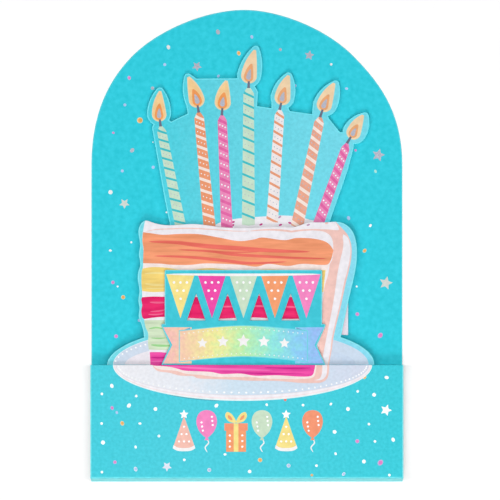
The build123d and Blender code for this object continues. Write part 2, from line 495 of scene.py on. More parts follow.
class Sheet:
    """A printed sheet: its cut outline, its fields of ink and where its points lie in space."""

    def __init__(self, name, outline, holes, place, upper, lower, rim):
        self.name = name
        self.place = place
        self.outline = grown(turned_left(outline), -EDGE)
        self.holes = [grown(turned_left(hole), EDGE) for hole in holes]
        # The rim ink, left bare in a band along the cut edge, is a painted highlight where the edge
        # catches light.
        self.bare = (rim, lower)
        self.fields = [(grown(self.outline, -HIGHLIGHT_WIDTH), upper, False)]
        self.creases = []  # levels of lines across the sheet, where it can bend

    def ink(self, shape, material, lower=False):
        """Print a field on the upper side, or on the lower one."""
        self.fields.append((turned_left(shape), material, lower))

    def divided(self):
        """Divide the sheet into triangles, each with its inks on the two sides."""
        points, edges, faces = [], [], []
        for shape in [self.outline] + self.holes + [field[0] for field in self.fields]:
            faces.append(list(range(len(points), len(points) + len(shape))))
            points.extend(Vector(point) for point in shape)
        reach = max(abs(point[0]) for point in self.outline) + 1
        for level in self.creases:
            edges.append((len(points), len(points) + 1))
            points.extend([Vector((-reach, level)), Vector((reach, level))])
        spots, _, triangles, _, _, sources = delaunay_2d_cdt(points, edges, faces, 1, 1e-5)
        first_field = 1 + len(self.holes)
        kept = []
        for triangle, source in zip(triangles, sources):
            if 0 not in source or any(1 <= index < first_field for index in source):
                continue
            inks = list(self.bare)
            for index in sorted(source):
                if index >= first_field:
                    _, material, lower = self.fields[index - first_field]
                    inks[lower] = material
            kept.append((list(triangle), inks))
        return spots, kept

    def build(self, slot, node):
        """Make the closed mesh of the sheet and let it stand for its CAD node."""
        spots, triangles = self.divided()
        used = sorted({index for triangle, _ in triangles for index in triangle})
        rank = {index: i for i, index in enumerate(used)}
        flat = [tuple(spots[index]) for index in used]
        corners = [[rank[index] for index in triangle] for triangle, _ in triangles]
        sides = {}
        for corner, (_, inks) in zip(corners, triangles):
            for pair in zip(corner, corner[1:] + corner[:1]):
                sides[pair] = inks
        rim = {pair: inks for pair, inks in sides.items() if pair[::-1] not in sides}
        before = {b: a for a, b in rim}
        outer = {}
        for here, after in rim:
            way_out = mitre(flat[before[here]], flat[here], flat[after])
            outer[here] = Vector(flat[here]) + REACH * way_out

        names = sorted({ink for _, inks in triangles for ink in inks} | {"core"})
        count = len(flat)
        high_ring = {index: 2 * count + i for i, index in enumerate(outer)}
        low_ring = {index: 2 * count + len(outer) + i for i, index in enumerate(outer)}
        vertices = [self.place(x, h, SHEET) for x, h in flat]
        vertices += [self.place(x, h, 0) for x, h in flat]
        vertices += [self.place(spot.x, spot.y, SHEET - EDGE) for spot in outer.values()]
        vertices += [self.place(spot.x, spot.y, EDGE) for spot in outer.values()]
        faces, slots = [], []
        for corner, (_, (upper, lower)) in zip(corners, triangles):
            faces.append(corner)
            faces.append([index + count for index in reversed(corner)])
            slots.extend([names.index(upper), names.index(lower)])
        for (a, b), (upper, lower) in rim.items():
            faces.append([high_ring[a], high_ring[b], b, a])
            faces.append([low_ring[a], low_ring[b], high_ring[b], high_ring[a]])
            faces.append([a + count, b + count, low_ring[b], low_ring[a]])
            slots.extend([names.index(upper), names.index("core"), names.index(lower)])
        mesh = bpy.data.meshes.new(self.name)
        mesh.from_pydata([Vector(vertex) * MM for vertex in vertices], [], faces)
        for name in names:
            mesh.materials.append(MATERIALS[name])
        mesh.polygons.foreach_set("material_index", slots)
        mesh.update()
        piece = bpy.data.objects.new(self.name, mesh)
        bpy.context.scene.collection.objects.link(piece)
        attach(piece, "root")
        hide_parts(node)


def flat_sheet(node, upper, rim):
    """Start the printed sheet that stands for a flat CAD node, with a painted highlight in its rim ink
    along the cut edges.
    """
    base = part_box(node)[0].z / MM
    loops = outline_of(node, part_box(node)[1].z)

    def place(x, h, rise):
        return (x, FRONT_TOP_Y + h, base + rise)

    return Sheet(node + "_print", loops[0], loops[1:], place, upper, "core", rim)


# The folded sheet lies flat in its own plane: h as on the back panel, then on round the two folds
OUTER_RADIUS = CREASE_RADIUS + SHEET
MIDDLE_RADIUS = CREASE_RADIUS + SHEET / 2
BACK_TURN = pi / 2 + RISER_LEAN
BACK_FOLD = Vector((card_low.y + OUTER_RADIUS, OUTER_RADIUS))
RISER_LENGTH = (CARD_DEPTH - 2 * OUTER_RADIUS) / cos(RISER_LEAN)
RISER_WAY = Vector((sin(RISER_LEAN), cos(RISER_LEAN)))
FRONT_FOLD = BACK_FOLD + RISER_LENGTH * RISER_WAY
BACK_END = BACK_FOLD.x - FRONT_TOP_Y
RISER_START = BACK_END - MIDDLE_RADIUS * BACK_TURN
RISER_END = RISER_START - RISER_LENGTH
FRONT_START = RISER_END - MIDDLE_RADIUS * (pi - BACK_TURN)
FRONT_END = FRONT_START - (FRONT_TOP_Y - FRONT_FOLD.x)


def fold_place(x, level, rise):
    """Where a point of the folded sheet lies, for its level in the flat sheet."""
    if level >= BACK_END:
        return (x, FRONT_TOP_Y + level, rise)
    if level <= FRONT_START:
        return (x, FRONT_FOLD.x + FRONT_START - level, CARD_DEPTH - rise)
    if level > RISER_START:
        centre, turn = BACK_FOLD, (BACK_END - level) / MIDDLE_RADIUS
    elif level >= RISER_END:
        centre, turn = BACK_FOLD + (RISER_START - level) * RISER_WAY, BACK_TURN
    else:
        centre, turn = FRONT_FOLD, BACK_TURN + (RISER_END - level) / MIDDLE_RADIUS
    spot = centre - (OUTER_RADIUS - rise) * Vector((sin(turn), cos(turn)))
    return (x, spot.x, spot.y)


class FrontPrint:
    """Prints on the front panel, whose outside is the folded sheet's lower side."""

    def __init__(self, sheet):
        self.sheet = sheet

    def ink(self, shape, material):
        self.sheet.ink([(x, FRONT_END - h) for x, h in shape], material, True)


# Confetti, as ink, ink of a darker middle if there is one, and spots as (x, h, radius)
BACK_CONFETTI = [
    ("foil", None, [
        (-36.6, 147.8, 0.9), (39.3, 139.8, 0.6), (-37.5, 70.8, 0.45), (57.6, 64.6, 0.7),
        (-53.9, 56.8, 0.5), (-63.6, 80.2, 1), (-63.7, 53, 0.6), (-60.3, 36.2, 0.45),
        (51.2, 36.2, 0.45), (-43.8, 103.5, 0.3),
    ]),
    ("grey_foil", None, [(-13.5, 154.9, 1.05), (15.6, 146.7, 0.7), (-44, 128.7, 0.8), (-53.5, 99.7, 1)]),
    ("pale_orange", "orange", [
        (-3.8, 145, 0.95), (-49.9, 113.7, 1.35), (-57.7, 31.2, 0.95), (54.9, 52.9, 0.9),
    ]),
    ("pale_pink", "pink", [
        (-54.9, 133.5, 0.85), (50.7, 99.7, 0.6), (51.5, 23.3, 0.9), (62.2, 13.4, 1.2),
        (-61, 13, 0.9), (-62.5, 38.1, 0.85), (-62.3, 107.9, 0.6),
    ]),
    ("lilac", None, [
        (2.3, 152.6, 0.75), (-38.3, 139.7, 0.7), (22.4, 129.8, 0.75), (-13.3, 134.3, 0.65),
        (-56.9, 120.9, 0.7), (-50.2, 20.4, 0.7), (46.5, 128.5, 0.65), (-43.7, 91.8, 0.75),
        (-58.1, 90.1, 0.7), (47.4, 68.1, 0.85),
    ]),
    ("mint_spot", None, [(60, 89.9, 0.7)]),
]
FRONT_CONFETTI = [
    ("lilac", None, [(-60.2, -22, 0.65)]),
    ("pale_lilac", "lilac", [
        (-51.5, -48.2, 0.95), (-17.4, -48.6, 0.9), (19.3, -46.6, 0.9), (44.8, -50.5, 0.8),
    ]),
    ("coral", None, [(17.7, -15.9, 0.8)]),
    ("pale_pink", "pink", [
        (-62.4, -19.9, 0.85), (-61.1, -45, 0.85), (51.1, -35.3, 0.95), (61.8, -45.2, 1.3),
    ]),
    ("pale_orange", "orange", [(-57.7, -27, 0.95), (6.1, -44, 1), (30.1, -51, 0.6), (54.5, -5.7, 0.8)]),
    ("foil", None, [
        (-62.5, -9.7, 0.88), (-67.1, -13.4, 0.62), (-51.2, -14.4, 0.62), (-54.6, -18.8, 0.95),
        (-42.3, -20.4, 0.88), (-67.2, -27.1, 0.62), (-49.5, -27.1, 0.62), (-40.7, -32.9, 0.62),
        (-66.6, -35.9, 0.95), (-51.5, -38, 0.62), (-67.1, -49.6, 0.62), (-29, -43.9, 0.62),
        (-14.1, -18.8, 0.88), (9.2, -18.4, 0.62), (26, -18.6, 0.62), (-10.1, -41.4, 0.6),
        (1.3, -49.3, 0.8), (32.2, -46.6, 0.62), (41.1, -41.1, 0.62), (40.6, -31, 0.88),
        (46.8, -20.4, 0.88), (38.9, -18.1, 0.62), (51.3, -12.2, 0.62), (58.9, -13.8, 0.88),
        (64.7, -5.8, 0.88), (56.5, -27.4, 0.6), (59.3, -35.4, 0.62), (67.7, -34.6, 0.88),
        (54.2, -44.7, 0.88), (66, -51, 0.62),
    ]),
]
# Stars, as ink, x, h, radius and turn in degrees
BACK_STARS = [
    ("grey_foil", -23.3, 138.9, 2.4, -85),
    ("grey_foil", 29.1, 144, 2.4, 80),
    ("grey_foil", 61.3, 97.5, 3.1, 75),
    ("champagne", 64.8, 37.8, 3.2, 76),
    ("champagne", -57.1, 74.9, 2.5, -90),
]
FRONT_STARS = [("foil", 64.4, -20.9, 2.75, 70), ("pale_lilac", -37, -47, 2.35, -90)]

LONG_SPOT = 1.15  # how much longer and narrower an oval spot is than a round one
SPOT_CORE = 0.7  # share of a two-tone spot's radius that its darker middle takes
CORE_SHIFT = 0.1


def print_scatter(sheet, confetti, stars):
    """Print spots, of which every third one of a kind is a little oval, and five-pointed stars."""
    for ink, core, spots in confetti:
        for number, (x, h, radius) in enumerate(spots):
            longer = LONG_SPOT if number % 3 == 0 else 1.0
            sheet.ink(oval(x, h, radius * longer, radius / longer, 110 + 40 * number), ink)
            if core:
                sheet.ink(circle(x + CORE_SHIFT * radius, h, radius * SPOT_CORE), core)
    for ink, x, h, radius, turn in stars:
        sheet.ink(star(x, h, radius, turn), ink)


def print_strokes(sheet, strokes):
    """Print brush strokes, as ink, line and width."""
    for ink, line, width in strokes:
        sheet.ink(stroke(line, width), ink)


# The plate's far half is on the cake panel and its near half on the front panel. Its ovals are given
# as the x of the middle, half width and half height
FAR_EDGE = (-2.8, 59.3, 16.7)
FAR_FACE = (-2.8, 59.05, 16.4)
FAR_WELL = (-3.0, 53.6, 10.4)
FAR_SPOTS = (-3.0, 58.4, 14.2)
FAR_SPOT_GAP = 2.3
NEAR_X = -2.0
NEAR_SHADOW = (NEAR_X, 60.1, -16.8)
NEAR_SPOTS = (NEAR_X, 57.5, -12.8)
NEAR_SPOT_COUNT = 53
PLATE_SPOT = 0.42  # radius
SPOT_POINTS = 10  # corners of a small spot
# The near half from its lip inwards, as half width, half height and ink
NEAR_PLATE = [
    (60, -16.6, "lip_edge"),
    (59.6, -15.9, "plate_line"),
    (59.2, -15.2, "plate_rim"),
    (58.6, -14.2, "plate_shadow"),
    (58.4, -13.9, "plate"),
]


def print_far_plate(sheet):
    """Print the plate's far half with a paler well. Its white line and foil spots end at the cake."""
    edge = half_oval(*FAR_EDGE)
    sheet.ink(edge, "plate_rim")
    sheet.ink(half_oval(*FAR_FACE), "far_plate")
    sheet.ink([(0, 0)] + [(x, h) for x, h in edge if x > 0], "far_plate")
    sheet.ink(half_oval(*FAR_WELL), "far_well")
    for x, h in spaced(half_oval(*FAR_SPOTS), FAR_SPOT_GAP):
        if x < 0:
            sheet.ink(circle(x, h, PLATE_SPOT, SPOT_POINTS), "foil")


def print_near_plate(sheet):
    """Print the plate's near half, with its white lip and foil spots, longer ones in the middle."""
    under = [(x, h) for x, h in half_oval(*NEAR_SHADOW) if -38 < x < -12]
    sheet.ink(stroke(under, 0.6), "lip_shadow")
    for half_width, half_height, ink in NEAR_PLATE:
        sheet.ink(half_oval(NEAR_X, half_width, half_height), ink)
    for x, h in half_oval(*NEAR_SPOTS, NEAR_SPOT_COUNT)[1:-1]:
        stretch = 1.2 if -16 < x < 24 else 0.9
        sheet.ink(oval(x, h, stretch * PLATE_SPOT, PLATE_SPOT, 0, SPOT_POINTS), "foil")


# The near edge of the cake, below the front panel's top edge
CAKE_FOOT = [
    ("peach_icing", [
        (-44.4, 1), (-42.8, -1.6), (-40.6, -3), (-36, -3.6), (-31, -4.9), (-25, -5.2), (-21.7, -6.3),
        (-9, -6.7), (1.4, -7.3), (14, -7.4), (24.6, -8.3), (31.1, -8.4), (34.4, -8.1), (37, -6.5),
        (38, -3.3), (38.1, 1),
    ]),
    ("cream", [
        (-44.6, 1), (-42.6, -1.1), (-39.4, -2.2), (-33, -2.7), (-28, -4.1), (-21.7, -4.6), (-14, -5.5),
        (1.4, -5.6), (9, -6.3), (24.6, -6.5), (30.4, -5.8), (31.8, -3.3), (32.3, 1),
    ]),
    ("magenta", [
        (-44.8, 1), (-43.5, -0.2), (-39.5, -0.5), (-35.4, -0.9), (-31.5, -1.9), (-28.2, -2.7),
        (-17.1, -3.2), (-11.5, -4.2), (-3, -4), (4, -5), (14, -4.8), (24.6, -5.4), (30, -4.9),
        (31.3, -2), (31.7, 1),
    ]),
    ("icing", [
        (34.9, 1), (34.8, -3.5), (33.6, -6.3), (31, -7), (34.6, -6.9), (36.6, -5), (37.1, -2.5),
        (37.2, 1),
    ]),
]
FOOT_STROKES = [
    ("magenta_light", [(-36, -0.7), (-20, -1.6), (-2, -2.2), (12, -2.4)], 0.9),
    ("magenta_dark", [(-4, -3.6), (10, -3.9), (27, -4.2)], 0.6),
    ("magenta_dark", [(8, -1.2), (20, -1.5), (30, -1.4)], 0.7),
]

# The row of party things under the plate, as (x, kind, ink), and their shapes round x = 0
PARTY_ROW = [
    (-29.1, "hat", "party_peach"),
    (-18.6, "balloon", "party_pink"),
    (-5, "gift", "party_orange"),
    (7, "balloon", "party_mint"),
    (18.2, "hat", "party_yellow"),
    (30.4, "balloon", "party_coral"),
]
HAT_BRIM = [(-5.2, -38.6), (-2.6, -39.8), (2.6, -39.8), (5.2, -38.6)]
HAT_TIP = -23.6
BRIM_WIDTH = 1.5
BALLOON_STRING = [(0, -34.2), (0.9, -36), (-0.7, -38.2), (0.3, -40.4)]
BALLOON_SIDE = [(0, -20.9), (3.4, -22.2), (4.8, -26), (3.6, -30.4), (0.8, -33.4)]
BALLOON_KNOT = [(0, -33), (1.1, -34.8), (-1.1, -34.8)]
BOW_LOOP = [(0, -26.6), (1.8, -23), (4.2, -21.8), (5, -23.8), (3.2, -26.2)]
BOW_EYE = [(1.7, -25.6), (2.4, -23.9), (3.8, -23.2), (3.4, -24.9)]
PARTY_SPOT = 0.5  # radius
PARTY_POINTS = 12  # corners of a spot on a party thing


def print_spot_rows(sheet, x, top, counts, gap, drop, radius):
    """Print centred rows of foil spots under one another."""
    for row, count in enumerate(counts):
        for number in range(count):
            spot_x = x + (number - (count - 1) / 2) * gap
            sheet.ink(circle(spot_x, top - drop * row, radius, PARTY_POINTS), "foil")


def print_hat(sheet, x, ink):
    """A pointed party hat with a brim, a star on top and foil spots."""
    brim = moved(HAT_BRIM, x)
    inner = [(px * 0.93 + x * 0.07, h + BRIM_WIDTH) for px, h in brim]
    sheet.ink(curve(brim) + [(x, HAT_TIP)], ink)
    sheet.ink(curve(brim) + curve(inner)[::-1], "string")
    sheet.ink(star(x, HAT_TIP + 0.7, 2.2), "foil")
    print_spot_rows(sheet, x, -28.6, (1, 2, 3), 2.3, 3.4, PARTY_SPOT)


def print_balloon(sheet, x, ink):
    """A balloon with a knot, a wavy string and foil spots."""
    sheet.ink(stroke(moved(BALLOON_STRING, x), 0.6), "string")
    body = moved(BALLOON_SIDE, x) + moved(BALLOON_SIDE[:0:-1], x, -1)
    sheet.ink(curve(body, closed=True), ink)
    sheet.ink(moved(BALLOON_KNOT, x), ink)
    for number in range(3):
        for side_x, step, top in ((2.4, 0.2, -24.0), (-2.4, 0.3, -26.6)):
            spot = circle(x + side_x + step * number, top - 1.9 * number, PARTY_SPOT, PARTY_POINTS)
            sheet.ink(spot, "foil")


def print_gift(sheet, x, ink):
    """A gift box with a lid, a ribbon and a bow."""
    sheet.ink(block(x, 4.6, -40.2, -29.8), ink)
    sheet.ink(block(x, 5.4, -30.4, -27.0), "party_coral")
    sheet.ink(block(x, 1.1, -40.2, -27.0), "party_yellow")
    for side in (-1, 1):
        sheet.ink(curve(moved(BOW_LOOP, x, side), closed=True), "party_yellow")
        sheet.ink(curve(moved(BOW_EYE, x, side), closed=True), ink)
        print_spot_rows(sheet, x + side * 2.9, -32.6, (1, 1, 1), 0, 2.6, PARTY_SPOT)


PARTY_PRINTS = {"hat": print_hat, "balloon": print_balloon, "gift": print_gift}
BLEED = 5  # how far the fields of the folded sheet's outside run on past the front panel's top edge


def print_front(sheet):
    """Print the base strip and the front panel."""
    wide = 2 * HALF_WIDTH
    bands = [
        # The base strip's and folds' pale inks are painted sheen on the steep strip and painted
        # highlights along its two folds.
        (BACK_END - 0.3, "riser_foot", wide),
        (RISER_START - 0.9, "riser_turquoise", wide),
        (RISER_END + 0.4, "crease", wide),
        # The pale band left at the front panel's sides is a painted highlight along its cut edges.
        (FRONT_START - 0.15, "front_rim", wide),
        (FRONT_START - 0.15, "front_turquoise", HALF_WIDTH - EDGE - HIGHLIGHT_WIDTH),
    ]
    for start, ink, half_width in bands:
        sheet.ink(block(0, half_width, start, FRONT_END - BLEED), ink, True)
    front = FrontPrint(sheet)
    print_scatter(front, FRONT_CONFETTI, FRONT_STARS)
    print_near_plate(front)
    for ink, line in CAKE_FOOT:
        front.ink(curve(line), ink)
    print_strokes(front, FOOT_STROKES)
    for x, kind, ink in PARTY_ROW:
        PARTY_PRINTS[kind](front, x, ink)


BENDS = 6  # flat steps round a fold


def folded_card():
    """The card itself: arched back panel, base strip and front panel, from one sheet."""
    back = turned_left(outline_of("folded_card", 0)[0])
    arch = sorted(((x, h) for x, h in back if h > BACK_END + 1), key=lambda spot: -spot[0])
    outline = arch + [(-HALF_WIDTH, FRONT_END), (HALF_WIDTH, FRONT_END)]
    sheet = Sheet("card_print", outline, [], fold_place, "turquoise", "core", "turquoise_rim")
    for i in range(BENDS + 1):
        sheet.creases.append(BACK_END + (RISER_START - BACK_END) * i / BENDS)
        sheet.creases.append(RISER_END + (FRONT_START - RISER_END) * i / BENDS)
    sheet.ink(block(0, HALF_WIDTH, RISER_START, FRONT_END), "core")
    print_scatter(sheet, BACK_CONFETTI, BACK_STARS)
    print_front(sheet)
    sheet.build("turquoise_card", "folded_card")


# Candles, as the flame's middle, tip, radius and side that it leans to, then the candle's head, foot
# and widths there, the place of its first stripe with the stripes' pitch and width, and its inks
CANDLES = [
    ((-40.8, 116.4), (-40.2, 127.2), 3.4, 1,
     (-40.2, 111.3), (-30.9, 64.6), (4.2, 5), (3.2, 4.2, 1.1), "mint"),
    ((-23.4, 123.2), (-27.4, 133.7), 3.7, -1,
     (-22.5, 117.8), (-17.3, 63.4), (4.4, 5.6), (3.2, 4.5, 1.4), "orange"),
    ((-11.2, 122), (-9.3, 132), 3.8, 1,
     (-11.6, 116.5), (-9.3, 63.4), (4.2, 5.4), (3.5, 4.22, 1.4), "pink"),
    ((1, 134.4), (3.9, 146.2), 3.7, 1,
     (0.8, 129.2), (0.7, 65), (4.8, 6), (3.8, 5, 1.1), "mint"),
    ((16.6, 124.3), (19.6, 134.4), 3.7, 1,
     (15.35, 119), (11.7, 66.2), (4.35, 5.5), (3, 4.27, 1.2), "white"),
    ((36.1, 121), (40.8, 130.8), 3.6, 1,
     (34.25, 115.6), (23.3, 64.2), (4.45, 5.8), (2.7, 4.3, 1.6), "peach"),
    ((49.7, 108), (54.2, 115.9), 3.4, 1,
     (46.9, 103.4), (33.1, 65), (3.85, 5), (2.4, 3.85, 1.5), "pink"),
]
# Inks of a candle's body and stripes, and the foil of its spots with their radius
CANDLE_INKS = {
    "mint": ("candle_mint", "candle_teal", "grey_foil", 0.26),
    "orange": ("candle_orange", "stripe_white", "foil", 0.3),
    "pink": ("candle_pink", "candle_magenta", "foil", 0.4),
    "white": ("candle_white", "stripe_orange", "grey_foil", 0.3),
    "peach": ("candle_peach", "stripe_white", "grey_foil", 0.3),
}
STRIPE_DROP = 2.3  # how much lower a stripe is on the right than on the left
STRIPE_GROWTH = 0.07  # the stripes stand further apart towards a candle's foot
STRIPE_SHARES = (-1.0, -0.5, 0.0, 0.5, 1.0)  # of the half width, at the corners of a stripe
SPOT_SHARES = (-0.58, 0.0, 0.58)  # of the half width, at a row's spots
SHOULDER = 3.2  # length of a candle's rounded head
SHOULDER_CURVE = 0.65
SHOULDER_STEPS = 6
FOOT_BULGE = 0.5


def print_candle(sheet, head, foot, widths, stripes, inks):
    """Print one candle with slanted stripes and rows of three spots."""
    head, foot = Vector(head), Vector(foot)
    length = (foot - head).length
    along = (foot - head) / length
    across = Vector((-along.y, along.x))
    first, pitch, stripe_width = stripes
    body, stripe, spot, spot_radius = CANDLE_INKS[inks]

    def at(down, share):
        """A point at a distance from the head and a share of the half width to the right."""
        width = widths[0] + (widths[1] - widths[0]) * down / length
        if down < SHOULDER:
            width *= (max(0.0, down) / SHOULDER) ** SHOULDER_CURVE
        return tuple(head + along * down + across * width / 2 * share)

    def middle_of(row):
        """Distance from the head to the middle of a stripe."""
        return first + row * (pitch + STRIPE_GROWTH * (row - 1))

    downs = [SHOULDER * i / SHOULDER_STEPS for i in range(SHOULDER_STEPS + 1)]
    right = [at(down, 1) for down in downs] + [at(length, 1)]
    left = [at(down, -1) for down in downs[1:]] + [at(length, -1)]
    sheet.ink(right + [at(length + FOOT_BULGE, 0)] + left[::-1], body)
    row = 0
    while middle_of(row) < length - 0.5:
        upper, lower = [], []
        for share in STRIPE_SHARES:
            down = middle_of(row) + (STRIPE_DROP * share - stripe_width) / 2
            upper.append(at(min(down, length - 0.1), share))
            lower.append(at(min(down + stripe_width, length), share))
        sheet.ink(upper + lower[::-1], stripe)
        gap = (middle_of(row) + middle_of(row + 1)) / 2
        if gap < length - 1.5:
            for share in SPOT_SHARES:
                x, h = at(gap + STRIPE_DROP * share / 2, share)
                sheet.ink(circle(x, h, spot_radius, SPOT_POINTS), spot)
        row += 1


# The fields inside a flame, as how far below its middle they start and their radius, both in the flame's
# radii, and how high they reach as a share of the flame
FLAME_HEART = (0.2, 0.6, 0.52)
FLAME_DROP = (0.24, 0.3, 0.32)
GLOW_RADIUS = 0.87
GLOW_RISE = 0.9
WICK_HALF = 0.6


def print_flame(sheet, middle, tip, radius, lean, head):
    """Print a flame with a glowing heart, a foil drop and the wick."""
    middle, tip, head = Vector(middle), Vector(tip), Vector(head)
    rise = tip - middle
    up = rise.normalized()
    glow, core = ("pale_flame", "pale_heart") if middle.x > 0 else ("flame", "flame_heart")
    sheet.ink(flame_shape(middle, tip, radius, lean), "flame_edge")
    glow_tip = middle + rise * GLOW_RISE
    sheet.ink(flame_shape(middle - up * 0.1, glow_tip, radius * GLOW_RADIUS, lean), glow)
    for (below, size, reach), ink in ((FLAME_HEART, core), (FLAME_DROP, "grey_foil")):
        start = middle - up * below * radius
        sheet.ink(flame_shape(start, start + rise * reach, radius * size, lean), ink)
    wick = middle - head
    top = head + wick * (1 - 0.72 * radius / wick.length)
    side = Vector((-wick.y, wick.x)).normalized() * WICK_HALF
    foot = head - wick * 0.12
    corners = [foot + side * 1.1, foot - side * 1.1, top - side * 0.8, top + side * 0.8]
    sheet.ink([tuple(corner) for corner in corners], "wick")


# Icing at the candles' feet, and sprinkles as ink, x, h and turn in degrees
CANDLE_ICING = [
    (-15.4, 64.4), (-12.2, 66.1), (-6.6, 67.5), (0.7, 68.3), (9.1, 68.9), (16, 69.3), (24, 68.7),
    (31, 66.9), (39.5, 65.6),
]
ICING_FOOT = [(39.5, 60), (-16, 60)]
TAIL_TOP = 61.4
CANDLE_SPRINKLES = [
    ("sprinkle", -6.4, 66.2, 15),
    ("sprinkle", -6.6, 64.7, 30),
    ("sprinkle", 6.6, 65.1, 25),
    ("sprinkle", 15.6, 64.9, 20),
    ("lilac_sprinkle", 15.3, 68.6, 40),
    ("sprinkle", 20, 65.8, 165),
]
CAKE_SPRINKLES = [("lilac_sprinkle", 28.5, 64.9, 20), ("peach_icing", 37, 65.6, 10)]
SPRINKLE_SIZE = (0.85, 0.45)  # half length and half width


def print_sprinkles(sheet, sprinkles):
    for ink, x, h, turn in sprinkles:
        sheet.ink(oval(x, h, *SPRINKLE_SIZE, turn, SPOT_POINTS), ink)


def candle_panel():
    """The pale panel of candles, with icing at their feet and a white tail behind the cake."""
    sheet = flat_sheet("candle_panel", "candle_turquoise", "candle_rim")
    low, high = (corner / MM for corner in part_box("candle_panel"))
    foot = low.y - FRONT_TOP_Y - 1
    sheet.ink([(low.x, foot), (high.x, foot), (high.x, TAIL_TOP), (low.x, TAIL_TOP)], "tail")
    sheet.ink(curve(CANDLE_ICING) + ICING_FOOT, "icing")
    print_sprinkles(sheet, CANDLE_SPRINKLES)
    for middle, tip, radius, lean, head, foot, widths, stripes, inks in CANDLES:
        print_candle(sheet, head, foot, widths, stripes, inks)
        print_flame(sheet, middle, tip, radius, lean, head)
    sheet.build("candle_card", "candle_panel")


# Outlines of the icing: the cake's left and right sides, the inner line of its iced right side with the
# cap over it, the shine there, and the fold along the top
CAKE_LEFT = [
    (-44.9, -3), (-45.2, 6), (-45.4, 10.2), (-45.2, 14.4), (-46.7, 17.6), (-47.6, 20.8), (-48.6, 23.5),
    (-48.6, 31), (-48.8, 37), (-48.8, 42), (-48.2, 46), (-48, 52), (-48.5, 58),
    (-48.2, 62), (-47, 68),
]
CAKE_RIGHT = [
    (40.8, 68), (41.9, 65.6), (45.4, 62), (46.9, 60), (48.1, 57), (48.6, 54), (48.6, 51.5),
    (48.3, 48.2), (47.2, 43), (45.9, 37.8), (43.7, 27.5), (41.2, 17.2), (40.1, 12), (39.4, 6.9),
    (38.3, 1), (37.6, -3),
]
COLUMN = [
    (30.8, 62.3), (35.1, 61.9), (37.6, 60.8), (39.1, 59.3), (39.9, 57), (40.1, 53.2), (39.6, 48.9),
    (38.6, 46.9), (38.1, 43.9), (37.4, 40.6), (36.1, 36.4), (35.1, 28.6), (34.7, 20.1), (32.9, 6.6),
    (31.6, -3),
]
CAP = [(41.2, 66), (42.7, 63.2), (42, 62.4), (37.2, 62.8), (30.8, 62.8)]
SHINE = [
    (44.8, 60.6), (44.5, 59), (44.8, 56.5), (44.4, 52.7), (43.4, 48.9), (41.9, 41.4), (41.4, 37.6),
    (40.3, 30), (39, 22.9), (36.5, 10.2), (34.6, 0.2), (34, -3),
]
SHINE_EDGE = [
    (37.2, -3), (37.7, 0.6), (38.8, 6.9), (39.4, 12), (40.5, 17.2), (43, 27.5), (45.1, 37.8),
    (46.5, 43), (47.7, 48.6), (48.1, 53.3), (47.4, 57.6), (46.4, 59.4), (44.8, 60.6),
]
ICING_FOLDS = [
    ("peach_icing", [
        (-47.3, 61.7), (-42.4, 62.7), (-36.2, 63), (-27.3, 63.3), (-16.7, 62.8), (-6, 62), (1.3, 62),
    ], 0.5),
    ("peach_icing", [
        (1.3, 62), (6.8, 62.5), (12.5, 62.6), (18.6, 62.1), (20.9, 61.8), (24.4, 62.3), (31.6, 62.7),
        (36, 62.6),
    ], 0.9),
]
# The cake's layers, as ink, upper edge, lower edge and left end, which runs upwards
CAKE_LAYERS = [
    ("cream",
     [(-47.9, 47.6), (-30, 47.4), (0, 46.9), (38.6, 47.4)],
     [(-48, 43.6), (-30, 43.4), (0, 43), (37, 43.2)], []),
    ("sponge",
     [(-48.2, 61.5), (-44.5, 61), (-38.8, 60.3), (-31, 60.7), (-22.5, 60.6), (-13.9, 59.2),
      (-4, 57.4), (3.1, 58.1), (7.4, 59), (17.3, 57.8), (23, 58.8), (30.1, 58.6), (35.8, 57.4),
      (38.6, 55.5), (40.2, 53.1)],
     [(-48.2, 47.1), (-40.2, 46.9), (-35.3, 46.4), (-26.7, 46.3), (-19.6, 47), (-11.1, 46.8),
      (-2.6, 46.3), (4.5, 45.5), (10.2, 46.8), (18.7, 45.8), (25.8, 46.8), (34.4, 46.3), (37.9, 46.8),
      (39.5, 49.9)],
     [(-48.1, 51), (-48, 54), (-48.5, 57.5)]),
    ("yellow",
     [(-48.5, 44.6), (-43.8, 45.3), (-37.4, 45), (-28.2, 43.9), (-16.8, 44.8), (-2.6, 43.6),
      (10.2, 44.3), (23, 43.7), (36.5, 43.9)],
     [(-48.6, 34.2), (-43.8, 33.7), (-37, 33.9), (-21.8, 34.2), (-3.2, 33.5), (15.4, 34.2),
      (35.5, 33.7)],
     [(-48.9, 37.2), (-48.9, 42.1)]),
    ("crimson",
     [(-48.6, 31.3), (-43.8, 31.6), (-37, 31.5), (-17.1, 31.4), (1.4, 32.1), (20, 31.4),
      (34.4, 31.9)],
     [(-47.7, 21.2), (-37.4, 22.2), (-17.1, 21.2), (1.4, 21.9), (20, 21.2), (33.5, 22.1)],
     [(-48.6, 22.2), (-49, 25.1), (-48.6, 27.6), (-49, 30.1)]),
    ("mint_layer",
     [(-47.7, 20.6), (-31, 20.7), (-12.5, 20), (6.1, 20.7), (32.5, 20)],
     [(-45.5, 7), (-31, 6.8), (-12.5, 7.5), (6.1, 7), (32.1, 7.5)],
     [(-45.9, 10.2), (-45.8, 14.4), (-47, 17.3)]),
    ("magenta",
     [(-45.1, 5.8), (-40.2, 5.8), (-35.3, 5.5), (-12.5, 5.4), (6.1, 6.1), (31.6, 5.6)],
     [(-44.6, -3), (-31, -3), (31.6, -3)], []),
]
